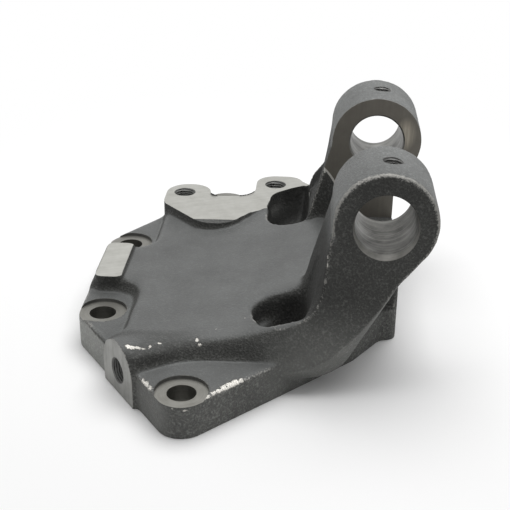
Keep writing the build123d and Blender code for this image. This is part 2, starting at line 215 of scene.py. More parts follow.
# Root hollow of the arm at -Y, in millimetres. Its outline is made of an edge, a leaning side and a
# side at the body, and here all of it leans.
bowl = {
    "edge": [],
    "leaning": [(40.2, -83.5), (43.2, -91.8), (49.0, -96.6), (57.0, -98.6), (64.0, -97.5),
                (68.0, -92.0), (69.5, -82.0), (69.0, -70.0), (67.5, -60.0), (61.0, -58.0),
                (53.0, -60.0), (46.3, -64.5), (42.0, -72.5)],
    "bodySide": [],
    "middle": (55.0, -78.0),
    "levels": [(15.0, 0.40), (16.5, 0.62), (21.0, 0.82), (28.0, 0.93), (36.0, 1.0), (46.0, 1.0),
               (58.0, 0.96), (72.0, 0.90)],
    "lean": 0.27,            # how far it moves back as it rises above leanFrom
    "leanFrom": 42.0,
}

# Root hollow of the arm at +Y: only its side along the arm leans.
hollow = {
    "edge": [(41.0, 73.0), (38.8, 78.8), (36.8, 84.0), (35.8, 89.0), (36.6, 96.0), (38.8, 104.0),
             (41.5, 112.0), (44.5, 118.6), (48.0, 123.4), (52.0, 127.2), (56.0, 129.8),
             (60.0, 132.4), (62.6, 134.5)],
    "leaning": [(65.6, 129.0), (66.0, 118.0), (66.3, 108.0), (66.3, 92.0), (66.3, 72.0),
                (66.0, 55.0)],
    "bodySide": [(63.0, 50.5), (57.5, 51.2), (52.0, 54.6), (47.4, 59.6), (44.0, 66.0)],
    "middle": (53.0, 90.0),
    "levels": [(11.0, 0.45), (12.5, 0.68), (17.0, 0.82), (25.0, 0.92), (34.0, 1.0), (50.0, 1.0),
               (76.0, 1.0)],
    "lean": 0.25,
    "leanFrom": 49.0,
}


# Outline of a root hollow, and a 1 for each of its points that leans or a 0 for one that doesn't.
def hollowOutline(shape):
    sides = [shape["edge"], shape["leaning"], shape["bodySide"]]
    leans = np.repeat((0.0, 1.0, 0.0), [len(side) for side in sides])
    return np.array(sum(sides, [])), leans


# Root hollow: at each level its outline, drawn in towards the middle by the level's share and
# moved back by lean * height above leanFrom where it leans.
def hollowShape(shape):
    middle = np.array(shape["middle"])
    outline, leans = hollowOutline(shape)
    rows = []
    for z, share in shape["levels"]:
        ring = middle + (outline - middle) * share
        ring[:, 0] += leans * shape["lean"] * max(z - shape["leanFrom"], 0.0)
        rows.append(np.c_[ring, np.full(len(ring), z)])
    return closeRings(np.array(rows))


# Web that rises from the ledge to the arm at +Y, in millimetres.
gusset = {
    "crest": [(62.6, 135.0, 37.0), (63.8, 127.0, 42.5), (66.6, 117.0, 51.0), (68.4, 110.0, 58.6),
              (71.4, 103.0, 65.6), (74.6, 97.0, 71.6), (78.0, 88.0, 74.0)],
    "low": 20.0,             # its underside, inside the body
    "back": 96.0,            # how far back it reaches at most
    "slant": (60.0, 141.5),  # a point on the ledge's slanting side, which runs at 45 degrees
    "taper": 1.0,            # how much shorter it is at its underside
}


# Web: a block under each point of its crest, back to x = slant x + (slant y - y) at most.
def gussetShape():
    x, y, z = np.array(gusset["crest"]).T
    back = np.minimum(gusset["back"], gusset["slant"][0] + (gusset["slant"][1] - y))
    low = np.full(len(x), gusset["low"])
    corners = [(x, z), (back, z), (back, low), (x + gusset["taper"], low)]
    rows = np.stack([np.stack([a, y, b], axis=1) for a, b in corners], axis=1)
    return closeRings(rows)


# Upright back of each arm's lower part, in millimetres.
heel = {
    "back": 125.4,           # its upright edge at the arm's inner face
    "low": 28.0,
    "high": 76.0,
    "levels": 9,
    "start": (96.0, 36.0),   # its front inner corner: x, and distance from the middle plane
    "cornerY": 47.5,
    "narrow": 40.0,          # distance from the middle plane of its outer side at its foot
    "widening": 50.0,        # how much farther out that side is at the top
    "quickness": 1.7,
    "bend": (120.4, 70.0),   # where the arm's back bends: x and z
    "leanBelow": 28.0,       # degrees
    "leanAbove": 0.84,
    "inset": 0.6,            # how far it stays inside the arm's back
    "draw": 1.0,
}


# Heel: at each level a corner block between the end wall and the arm. It is as wide as share =
# (z - low) / (high - low) lets it, up to the slanting back of the arm.
def heelShape(hand):
    startX, startY = heel["start"]
    bendX, bendZ = heel["bend"]
    back, corner = heel["back"], heel["cornerY"]
    rows = []
    for z in np.linspace(heel["low"], heel["high"], heel["levels"]):
        share = (z - heel["low"]) / (heel["high"] - heel["low"])
        side = heel["narrow"] + heel["widening"] * min(1.0, heel["quickness"] * share)
        below = bendX - (bendZ - z) * math.tan(math.radians(heel["leanBelow"]))
        above = bendX + (z - bendZ) * heel["leanAbove"]
        outer = min(below if z < bendZ else above, back) - heel["inset"]
        edge = min(back, back - heel["draw"] + 2.0 * heel["draw"] * share)
        rows.append([(startX, startY, z), (startX, side, z), (outer, side, z), (edge, corner, z),
                     (edge, startY, z)])
    rows = np.array(rows)
    rows[:, :, 1] *= hand
    return closeRings(rows)


# Joins shells into one mesh, from millimetres to metres.
def meshOf(name, shells):
    starts = np.cumsum([0] + [len(points) for points, faces in shells[:-1]])
    points = np.vstack([points for points, faces in shells]) * mm
    faces = np.vstack([faces + start for start, (_, faces) in zip(starts, shells)])
    mesh = bpy.data.meshes.new(name)
    mesh.vertices.add(len(points))
    mesh.vertices.foreach_set("co", points.ravel())
    mesh.loops.add(faces.size)
    mesh.loops.foreach_set("vertex_index", faces.ravel())
    mesh.polygons.add(len(faces))
    mesh.polygons.foreach_set("loop_start", np.arange(len(faces)) * 3)
    mesh.update(calc_edges=True)
    return mesh


def addObject(name, mesh):
    piece = bpy.data.objects.new(name, mesh)
    bpy.context.scene.collection.objects.link(piece)
    return piece


# Puts the result of a piece's modifiers in its mesh.
def applyModifiers(piece):
    graph = bpy.context.evaluated_depsgraph_get()
    made = bpy.data.meshes.new_from_object(piece.evaluated_get(graph), depsgraph=graph)
    piece.modifiers.clear()
    piece.data = made


def readEdges(mesh):
    ends = np.empty(len(mesh.edges) * 2, int)
    mesh.edges.foreach_get("vertices", ends)
    return ends.reshape(-1, 2)


def readArrays(mesh):
    points = np.empty(len(mesh.vertices) * 3)
    mesh.vertices.foreach_get("co", points)
    return points.reshape(-1, 3) / mm


# Copy of the CAD solid as points and triangles, with its doubled points merged.
def readSolid():
    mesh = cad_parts["bracket"].data.copy()
    work = bmesh.new()
    work.from_mesh(mesh)
    bmesh.ops.remove_doubles(work, verts=work.verts, dist=blank["merge"] * mm)
    bmesh.ops.triangulate(work, faces=work.faces)
    work.to_mesh(mesh)
    work.free()
    triangles = np.empty(len(mesh.polygons) * 3, int)
    mesh.polygons.foreach_get("vertices", triangles)
    normals = np.empty(len(mesh.polygons) * 3)
    mesh.polygons.foreach_get("normal", normals)
    return readArrays(mesh), triangles.reshape(-1, 3), normals.reshape(-1, 3)


# Rounded copy of the solid, in millimetres.
blank = {
    "voxel": 1.2,            # size of the cells that the copy is rebuilt from
    "smoothing": 7,          # rounds of smoothing, which set how round its edges are
    "triangles": 165000,
    "allowance": 3.0,        # metal left on a face before it is machined
    "earAllowance": 1.5,
    "overlap": 0.5,          # how far that metal reaches into the solid
    "bendRounds": 2,
    "softRounds": 90,        # more rounds in the soft places: centre, size and strength of each
    "softEdge": (1.25, 0.75),
    "merge": 0.001,
    "sharpAngle": 40,        # degrees between two faces from which their edge stays crisp
    "softPlaces": [
        ((52.0, -64.0, 38.0), (24.0, 17.0, 18.0), 0.7),
        ((8.0, -101.0, 33.0), (58.0, 13.0, 10.0), 1.0),
        ((-46.0, -42.0, 29.0), (9.0, 26.0, 9.0), 0.35),
        ((-52.0, -84.0, 24.0), (14.0, 20.0, 8.0), 0.35),
        ((54.0, 92.0, 22.0), (26.0, 46.0, 13.0), 0.4),
    ],
}

# Plugs that close the solid's holes before it is rounded, in millimetres. Each more is how much
# wider a plug is than its hole.
plug = {
    "below": -3.0,           # where the plugs of the foot's holes start
    "boltTop": 20.8,
    "boltMore": 0.1,
    "spotfaceLow": 19.5,
    "tapMore": 1.3,
    "boreEnd": 94.0,
    "boreMore": 1.1,
    "mouth": (90.0, 100.0),
    "mouthR": 22.0,
    "mouthColumns": 96,
    "screw": (118.0, 137.0),
    "screwR": 6.4,
    "portBack": 31.0,
    "portPlugR": 9.1,
    "drillFront": 29.0,
    "drillMore": 0.2,
}


# Plugs of the bolt holes, ledge taps, bores, set screw holes and port. The outer ends of a bore's
# and a screw hole's plug follow the arm's outer face and the head's round top.
def plugHoles():
    shells = []
    for x, y in cast["boltHoles"]:
        hole = (plug["below"], plug["boltTop"])
        shells.append(roundBar((x, y, 0), up, hole, cast["boltHoleR"] + plug["boltMore"]))
        shells.append(roundBar((x, y, 0), up, (plug["spotfaceLow"], cast["flangeTop"]), cast["cornerR"]))
    for x, y in cast["taps"]:
        top = cast["ledgeTop"] + blank["allowance"]
        shells.append(roundBar((x, y, 0), up, (plug["below"], top), cast["tapR"] + plug["tapMore"]))
    for hand in (-1, 1):
        inner = cast["earFaceY"] - blank["earAllowance"]
        centre = (cast["pivotX"], 0, cast["pivotZ"])
        radius = cast["boreR"] + plug["boreMore"]
        shells.append(roundBar(centre, (0, hand, 0), (inner, plug["boreEnd"]), radius))
        mouth = ringsAlong(centre, (0, hand, 0), plug["mouth"], plug["mouthR"], plug["mouthColumns"])
        mouth[1, :, 1] = hand * outerFaceY(mouth[1, :, 2])
        shells.append(closeRings(mouth))
        screw = ringsAlong((cast["screwX"], hand * cast["screwY"], 0), up, plug["screw"], plug["screwR"])
        run = screw[1, :, 0] - cast["pivotX"]
        screw[1, :, 2] = cast["pivotZ"] + np.sqrt(cast["headR"] ** 2 - run ** 2)
        shells.append(closeRings(screw))
    face = cast["portFace"]
    port = (face - plug["portBack"], face + blank["allowance"])
    shells.append(roundBar(portPlace, portAxis, port, plug["portPlugR"]))
    drill = (face - cast["drillDepth"] - plug["drillMore"], face - plug["drillFront"])
    shells.append(roundBar(portPlace, portAxis, drill, cast["drillR"] + plug["drillMore"]))
    return shells


# Metal on each face that is machined later.
def allowances(solid):
    more, earMore, low = blank["allowance"], blank["earAllowance"], -blank["overlap"]
    portLevel = float(portFoot @ outward) + cast["portFace"]
    return [
        slabOn(*solid, up, cast["ledgeTop"], low, more),
        slabOn(*solid, up, cast["padTop"], low, more),
        slabOn(*solid, (0, 0, -1), 0.0, low, more),
        slabOn(*solid, portAxis, portLevel, low, more),
        slabOn(*solid, (0, -1, 0), -cast["earFaceY"], low, earMore),
        slabOn(*solid, (0, 1, 0), -cast["earFaceY"], low, earMore),
    ]


# Smooth step from 0 at low to 1 at high, which may lie either way round.
def fade(value, low, high):
    share = np.clip((value - low) / (high - low), 0.0, 1.0)
    return share * share * (3.0 - 2.0 * share)


def store(mesh, name, values):
    layer = mesh.attributes.get(name) or mesh.attributes.new(name, "FLOAT", "POINT")
    layer.data.foreach_set("value", np.asarray(values, np.float32))


# Moves each point halfway to the mean of its neighbours, over and over. More rounds follow where
# its weight is above 0: weight = the largest of strength * fade(distance to a soft place / its
# size). How far it still stands above that mean, in cells, is kept as edgeTurn, which is large
# on an outside edge.
def smoothBlank(mesh, rounds):
    points = readArrays(mesh)
    edges = readEdges(mesh)
    a, b = edges.T
    degree = np.bincount(edges.ravel(), minlength=len(points))[:, None]

    def meanOf(values):
        total = np.stack([
            np.bincount(a, values[b, i], len(points)) + np.bincount(b, values[a, i], len(points))
            for i in range(values.shape[1])
        ], axis=1)
        return total / degree

    for turn in range(rounds):
        points = points + 0.5 * (meanOf(points) - points)
    weight = np.zeros(len(points))
    for centre, size, strength in blank["softPlaces"]:
        far = np.sqrt((((points - np.array(centre)) / np.array(size)) ** 2).sum(1))
        weight = np.maximum(weight, strength * fade(far, *blank["softEdge"]))
    for turn in range(blank["softRounds"]):
        points = points + 0.5 * weight[:, None] * (meanOf(points) - points)
    mesh.vertices.foreach_set("co", (points * mm).ravel())
    mesh.update()
    normals = np.empty(len(points) * 3)
    mesh.vertices.foreach_get("normal", normals)
    normals = normals.reshape(-1, 3)
    bend = ((points - meanOf(points)) * normals).sum(1)[:, None]
    for turn in range(blank["bendRounds"]):
        bend = 0.5 * bend + 0.5 * meanOf(bend)
    store(mesh, "edgeTurn", bend[:, 0] / blank["voxel"])


# Makes one closed skin round a piece's shells, from cells of one size.
def rebuild(piece):
    remesh = piece.modifiers.new("rebuild", "REMESH")
    remesh.mode = "VOXEL"
    remesh.voxel_size = blank["voxel"] * mm
    applyModifiers(piece)


# Casting before machining: the plugged solid with its extra metal, rounded and then thinned out
# to about the wished number of triangles.
def makeBlank():
    solid = readSolid()
    shells = [solid[:2]] + plugHoles() + allowances(solid) + [gussetShape(), heelShape(1), heelShape(-1)]
    piece = addObject("bracket_casting", meshOf("bracket_casting", shells))
    rebuild(piece)
    machine(piece, [hollowShape(hollow), hollowShape(bowl)])
    rebuild(piece)
    print("blank rebuilt,", len(piece.data.polygons), "faces")
    smoothBlank(piece.data, blank["smoothing"])
    thin = piece.modifiers.new("thin", "DECIMATE")
    thin.ratio = blank["triangles"] / (2 * len(piece.data.polygons))
    applyModifiers(piece)
    print("blank smoothed,", len(piece.data.polygons), "faces")
    return piece, solid


# Machined area inside the ears, in millimetres, as seen along the pivot: an arc about centre from
# its top to its bottom, in degrees, then down to the floor and out past the arms.
earPath = {
    "centre": (50.0, 58.0),
    "r": 38.5,
    "top": 62.0,
    "bottom": -10.0,
    "points": 40,
    "step": 0.4,             # how far back the arc's end is set on its way down
    "floor": 51.0,
    "back": 160.0,
    "high": 150.0,
    "front": 50.0,
    "slope": 2.6,            # distance from each ear's face over which the arc widens
    "widening": 0.9,
}


# Cut between the ears: that outline at four places across, from one machined face to the other,
# with its arc wider at the faces and narrower between them.
def earCut():
    x, z = earPath["centre"]
    r, floor, back, high = earPath["r"], earPath["floor"], earPath["back"], earPath["high"]
    turn = np.radians(np.linspace(earPath["top"], earPath["bottom"], earPath["points"]))
    outline = [(x + r * math.cos(a), z + r * math.sin(a)) for a in turn]
    outline += [(outline[-1][0] + earPath["step"], floor), (back, floor), (back, high),
                (earPath["front"], high)]
    face, slope = cast["earFaceY"], earPath["slope"]
    outline = np.array(outline)
    edge = np.c_[np.cos(turn), np.sin(turn)]
    rows = []
    for y, more in ((-face, 1), (slope - face, -1), (face - slope, -1), (face, 1)):
        ring = outline.copy()
        ring[:len(turn)] += edge * more * earPath["widening"]
        rows.append(np.c_[ring[:, 0], np.full(len(ring), y), ring[:, 1]])
    return closeRings(np.array(rows))


# Tools that machine the casting, in millimetres.
tools = {
    "clear": 8.0,            # how far a facing tool or a chamfer runs past the face
    "past": 2.0,             # how far a drill or tap runs past it
    "underside": 400.0,
    "boltFrom": -5.0,
    "spotfaceClear": 20.0,
    "tapFrom": -4.0,
    "tapClearR": 9.5,
    "tapChamfer": 1.2,
    "screw": (117.0, 139.0),
    "screwMouth": 136.0,     # where the set screw hole's cone has the hole's own radius
    "boreChamfer": 3.0,
    "portChamferR": 8.3,
    "portFaceR": 40.0,
    "drillFront": 29.5,
    "spotfaceColumns": 128,
    "boreColumns": 144,
}

# Ledge beside the hollow at +Y, in millimetres.
ledge = {
    "edge": [(23.5, 74.0), (24.0, 112.0), (50.0, 137.0), (54.0, 150.0), (61.8, 150.0),
             (62.0, 137.0), (64.5, 128.0), (64.0, 118.0), (54.0, 100.0), (42.0, 90.0),
             (36.1, 86.0), (34.0, 83.9)],
    "mouthTop": 46.5,
}


# Cutters for the ledge's top: a slab over its CAD face, and a block round the hollow's mouth,
# both less the web that rises there.
def ledgeCutters(solid):
    plan = np.array(ledge["edge"])
    levels = (cast["ledgeTop"], ledge["mouthTop"])
    mouth = closeRings(np.array([np.c_[plan, np.full(len(plan), z)] for z in levels]))
    shells = []
    for shell in (slabOn(*solid, up, cast["ledgeTop"], 0.0, tools["clear"]), mouth):
        piece = addObject("ledge cutter", meshOf("ledge cutter", [outwards(shell)]))
        machine(piece, [gussetShape()])
        mesh = piece.data
        mesh.calc_loop_triangles()
        faces = np.empty(len(mesh.loop_triangles) * 3, int)
        mesh.loop_triangles.foreach_get("vertices", faces)
        shells.append((readArrays(mesh), faces.reshape(-1, 3)))
        bpy.data.objects.remove(piece)
    return shells


# Bolt holes and their spotfaces.
def boltTools():
    shells = []
    z = cast["spotfaceZ"]
    for x, y in cast["boltHoles"]:
        shells.append(roundBar((x, y, 0), up, (tools["boltFrom"], z + tools["past"]), cast["boltHoleR"]))
        shells.append(roundBar((x, y, 0), up, (z, z + tools["spotfaceClear"]), cast["spotfaceR"],
                               tools["spotfaceColumns"]))
    return shells


# Tapped holes of the ledge. Like the other taps, each has a cone at its mouth.
def ledgeTaps():
    shells = []
    top = cast["ledgeTop"]
    for x, y in cast["taps"]:
        shells.append(roundBar((x, y, top), up, (0.0, tools["clear"]), tools["tapClearR"]))
        shells.append(tapShape((x, y, 0), up, tools["tapFrom"], top + tools["past"], cast["tapR"],
                               cast["tapCrest"], cast["tapPitch"],
                               lambda z: cast["tapR"] + z - top + tools["tapChamfer"]))
    return shells


# Set screw hole and bore of each head, the bore with a chamfer at both ends.
def headTools():
    shells = []
    face, mouth, r = cast["earFaceY"], cast["mouthY"], cast["boreR"]
    chamfer, clear = cast["earChamfer"], tools["clear"]
    for hand in (-1, 1):
        start = (cast["screwX"], hand * cast["screwY"], 0)
        shells.append(tapShape(start, up, *tools["screw"], cast["screwR"], cast["screwCrest"],
                               cast["screwPitch"], lambda z: cast["screwR"] + z - tools["screwMouth"]))
        centre = (cast["pivotX"], 0, cast["pivotZ"])
        step = (face - tools["past"], face, face + chamfer, mouth, mouth + clear)
        size = (r + tools["boreChamfer"], r + chamfer, r, r, r + clear)
        shells.append(roundBar(centre, (0, hand, 0), step, size, tools["boreColumns"]))
    return shells


# Tapped port in the slanting wall and the drilling behind it.
def portTools():
    face = cast["portFace"]
    tap = tapShape(portPlace, portAxis, face - cast["portDepth"], face + tools["past"], cast["portR"],
                   cast["portCrest"], cast["portPitch"], lambda out: tools["portChamferR"] + out - face)
    depth = (face - cast["drillDepth"], face - tools["drillFront"])
    return [tap, roundBar(portPlace, portAxis, depth, cast["drillR"])]


# Tools that leave the flat faces: underside, ledge, pad, port face and the ears' inner faces.
def planes(solid):
    clear = tools["clear"]
    face = cast["portFace"]
    return [
        roundBar((0, 0, 0), up, (-clear, 0.0), tools["underside"], 4),
        *ledgeCutters(solid),
        slabOn(*solid, up, cast["padTop"], 0.0, clear),
        roundBar(portPlace, portAxis, (face, face + clear), tools["portFaceR"]),
        earCut(),
    ]


def cutters(solid):
    return planes(solid) + boltTools() + ledgeTaps() + headTools() + portTools()


# Turns a shell's faces outwards: its volume, summed over its triangles, comes out above 0.
def outwards(shell):
    points, faces = shell
    corners = points[faces]
    volume = (corners[:, 0] * np.cross(corners[:, 1], corners[:, 2])).sum()
    return (points, faces if volume > 0 else faces[:, ::-1])


# Cuts shells out of a piece, one after the other.
def machine(piece, shells):
    for shell in shells:
        tool = addObject("tool", meshOf("tool", [outwards(shell)]))
        cut = piece.modifiers.new("cut", "BOOLEAN")
        cut.operation = "DIFFERENCE"
        cut.solver = "MANIFOLD"
        cut.object = tool
        applyModifiers(piece)
        mesh = tool.data
        bpy.data.objects.remove(tool)
        bpy.data.meshes.remove(mesh)
    print("machined,", len(piece.data.polygons), "faces")


finishes = ["cast", "milled", "spotface", "bored", "faced", "threadAndShade", "port face", "rim"]

# How the finishes are told apart, in millimetres and in shares of a face's normal.
limit = {
    "nearFace": 0.03,        # how far a face may lie from the flat place that its tool leaves
    "nearRound": 0.1,        # the same for a round place
    "nearArc": 1.1,
    "beyond": 0.05,          # how far past a face or a bore the next finish starts
    "flat": 0.9999,
    "facing": 0.99,
    "wall": 0.5,
    "rising": 0.1,
    "inwards": -0.2,
    "ledgeY": 60.0,
    "padX": -50.0,
    "portHalf": 21.0,
    "earX": 60.0,
    "arcLow": 4.0,           # above the ear path's floor
    "arcHigh": 95.0,
    "boltHigh": 60.0,
    "spotfaceWall": 0.4,
    "tapMore": 1.5,          # how much farther than its root a thread or a chamfer reaches
    "boreMore": 5.0,
    "rimMore": 9.0,
    "screwR": 6.15,
    "screwLow": 118.0,
    "portR": 9.05,
    "portBack": -60.0,
    "headLow": 104.0,
}


# Finish of each face, from where its middle lies and which way it faces.
def finishOf(mesh):
    centre = np.empty(len(mesh.polygons) * 3)
    normal = np.empty(len(mesh.polygons) * 3)
    mesh.polygons.foreach_get("center", centre)
    mesh.polygons.foreach_get("normal", normal)
    x, y, z = centre.reshape(-1, 3).T / mm
    nx, ny, nz = normal.reshape(-1, 3).T
    side = abs(y)
    finish = np.zeros(len(mesh.polygons), int)
    nearFace, nearRound = limit["nearFace"], limit["nearRound"]

    def mark(name, *tests):
        finish[np.logical_and.reduce(tests)] = finishes.index(name)

    # ledge, pad and underside
    flatUp = nz > limit["flat"]
    mark("milled", flatUp, abs(z - cast["ledgeTop"]) < nearFace, y > limit["ledgeY"])
    mark("milled", flatUp, abs(z - cast["padTop"]) < nearFace, x < limit["padX"])
    mark("milled", nz < -limit["facing"], z < nearFace)

    # port face
    out = (x - portFoot[0]) * outward[0] + (y - portFoot[1]) * outward[1]
    sideways = (x - portFoot[0]) * along[0] + (y - portFoot[1]) * along[1]
    facing = nx * outward[0] + ny * outward[1]
    mark("port face", facing > limit["facing"], abs(out - cast["portFace"]) < nearFace,
         abs(sideways) < limit["portHalf"])

    # ears' inner faces and the arc between them
    inEar = (x > limit["earX"]) & (z > earPath["floor"] - nearRound)
    mark("faced", inEar, abs(ny) > limit["facing"], abs(side - cast["earFaceY"]) < nearFace)
    fromArc = np.hypot(x - earPath["centre"][0], z - earPath["centre"][1])
    mark("milled", inEar, abs(fromArc - earPath["r"]) < limit["nearArc"], nz > limit["rising"],
         side < cast["earFaceY"] - limit["beyond"], z > earPath["floor"] + limit["arcLow"],
         z < limit["arcHigh"])

    # bolt holes and spotfaces; the spotfaces' upright walls take the dark thread finish as painted shade
    for holeX, holeY in cast["boltHoles"]:
        r = np.hypot(x - holeX, y - holeY)
        inFace = (r < cast["spotfaceR"] + nearRound) & (z < limit["boltHigh"])
        mark("spotface", inFace, z > cast["spotfaceZ"] - nearFace)
        mark("spotface", r < cast["boltHoleR"] + nearRound)
        mark("threadAndShade", inFace, r > cast["spotfaceR"] - limit["spotfaceWall"], z > cast["spotfaceZ"],
             nz < limit["wall"])

    # tapped holes and bores
    for holeX, holeY in cast["taps"]:
        r = np.hypot(x - holeX, y - holeY)
        mark("threadAndShade", r < cast["tapR"] + limit["tapMore"], z < cast["ledgeTop"] - nearFace)
    r = np.hypot(x - cast["pivotX"], z - cast["pivotZ"])
    inwards = (x - cast["pivotX"]) * nx + (z - cast["pivotZ"]) * nz < limit["inwards"] * r
    mark("bored", inwards, r < cast["boreR"] + limit["boreMore"], side > cast["earFaceY"] - nearRound)
    mark("rim", inwards, r > cast["boreR"] + limit["beyond"], r < cast["boreR"] + limit["rimMore"],
         side > cast["mouthY"])
    r = np.hypot(x - cast["screwX"], side - cast["screwY"])
    mark("threadAndShade", r < limit["screwR"], z > limit["screwLow"])
    r = np.hypot(sideways, z - cast["portZ"])
    mark("threadAndShade", r < limit["portR"], out < cast["portFace"] - nearFace, out > limit["portBack"])
    return finish


# Sets each face's finish and a sharp edge wherever two finishes meet. The attribute cutEdge is 1
# where the cast skin meets the port face or the face of a head.
def sortFaces(mesh):
    finish = finishOf(mesh)
    mesh.polygons.foreach_set("material_index", finish)
    loops = np.empty(len(mesh.loops), int)
    mesh.loops.foreach_get("edge_index", loops)
    totals = np.empty(len(mesh.polygons), int)
    mesh.polygons.foreach_get("loop_total", totals)
    perLoop = np.repeat(finish, totals)
    lowest = np.full(len(mesh.edges), len(finishes))
    highest = np.full(len(mesh.edges), -1)
    np.minimum.at(lowest, loops, perLoop)
    np.maximum.at(highest, loops, perLoop)
    sharp = np.empty(len(mesh.edges), bool)
    layer = mesh.attributes.get("sharp_edge") or mesh.attributes.new("sharp_edge", "BOOLEAN", "EDGE")
    layer.data.foreach_get("value", sharp)
    layer.data.foreach_set("value", sharp | (lowest != highest))
    ends = readEdges(mesh)
    height = readArrays(mesh)[ends[:, 0], 2]
    onPort = highest == finishes.index("port face")
    onHead = (highest == finishes.index("faced")) & (height > limit["headLow"])
    joint = (lowest == finishes.index("cast")) & (onPort | onHead)
    values = np.zeros(len(mesh.vertices))
    values[ends[joint].ravel()] = 1.0
    store(mesh, "cutEdge", values)
    print("finishes", dict(zip(finishes, np.bincount(finish, minlength=len(finishes)).tolist())))


# How far inside the outline of a root hollow, plus a margin, each point lies: 1 inside, fading
# to 0 over 3 mm across it.
def insideHollow(shape, x, y, margin=0.0, soft=1.5):
    middle = np.array(shape["middle"])
    outline = hollowOutline(shape)[0] - middle
    turn = np.arctan2(outline[:, 1], outline[:, 0])
    order = np.argsort(turn)
    angle = np.arctan2(y - middle[1], x - middle[0])
    reach = np.interp(angle, turn[order], np.hypot(*outline[order].T), period=2 * np.pi)
    far = np.hypot(x - middle[0], y - middle[1])
    return fade(far, reach + margin + soft, reach + margin - soft)


# Places of the cast skin's masks. A row names a measure and the values at which it gives 0 and 1,
# and a mask is the product of its rows. Side is the distance from the middle plane, rim the
# distance from the round edge of a head, and nx and nz are shares of the normal.
places = {
    "hollow": [("z", 46.0, 38.0)],
    "web": [("x", 57.0, 61.0), ("x", 84.0, 78.0), ("y", 76.0, 88.0), ("z", 92.0, 84.0),
            ("z", 38.6, 39.6), ("nz", 0.985, 0.93)],
    "head": [("rim", 2.0, 0.6), ("z", 92.0, 100.0), ("nz", -0.2, 0.2)],
    "headTop": [("nz", -0.1, 0.5)],
    "headEdge": [("side", 90.0, 93.0), ("z", 92.0, 100.0)],
    "roll": [("y", -90.0, -98.0), ("z", 34.6, 31.0), ("z", 24.0, 28.0), ("x", 62.0, 50.0)],
    "flat": [("nz", 0.60, 0.97)],
    "lowTop": [("z", 60.0, 52.0)],
    "smoothTop": [("z", 60.0, 50.0)],
    "armEnd": [("nx", -0.55, -0.85), ("z", 84.0, 104.0), ("x", 92.0, 84.0)],
    "armFront": [("nx", -0.35, -0.7), ("z", 108.0, 84.0), ("side", 46.0, 49.0), ("x", 50.0, 58.0)],
    "armFoot": [("z", 66.0, 22.0), ("x", 30.0, 62.0), ("side", 93.0, 101.0), ("nx", -0.9, -0.5)],
    "under": [("nz", -0.10, -0.30), ("side", 90.0, 96.0), ("z", 2.0, 5.0), ("z", 75.0, 60.0)],
    "wall": [("nz", 0.5, 0.2)],
    "frontWall": [("nx", -0.2, -0.5), ("z", 24.0, 20.0)],
    "leftWall": [("nx", -0.3, -0.6), ("x", -20.0, -30.0), ("y", -118.0, -108.0)],
    "foot": [("z", 30.0, 23.0), ("nz", 0.15, 0.35), ("nz", 0.99, 0.9), ("x", 40.0, 30.0)],
}

# Strengths of those masks. The shades darken the hollows, the arms' fronts and the web as painted
# shade, and the lights, headTop, armFootPale and leftWallMore lighten parts as painted light; rollLess
# takes painted light off the rolled front edge.
paint = {
    "hollowShade": 0.54,     # shares of the colour that are left, as painted shade
    "armShade": 0.62,
    "webShade": 0.75,
    "hollowMargin": 4.0,     # millimetres round the hollow at +Y where edges stay unworn
    "headLight": 0.36,       # how much lighter, as painted light
    "underLight": 0.30,
    "footLight": 0.5,
    "headTop": 1.5,          # how much lighter the heads' tops and the arms' front ends are painted, as painted light
    "rollLess": 0.75,
    "armFootPale": 0.95,
    "leftWallMore": 1.3,
    "topSmooth": 0.72,       # shares of the sand's roughness that are gone
    "headSmooth": 0.6,
    "wallSmooth": 0.55,
    "headEdgeMore": 0.3,     # how much more its edge is worn
}

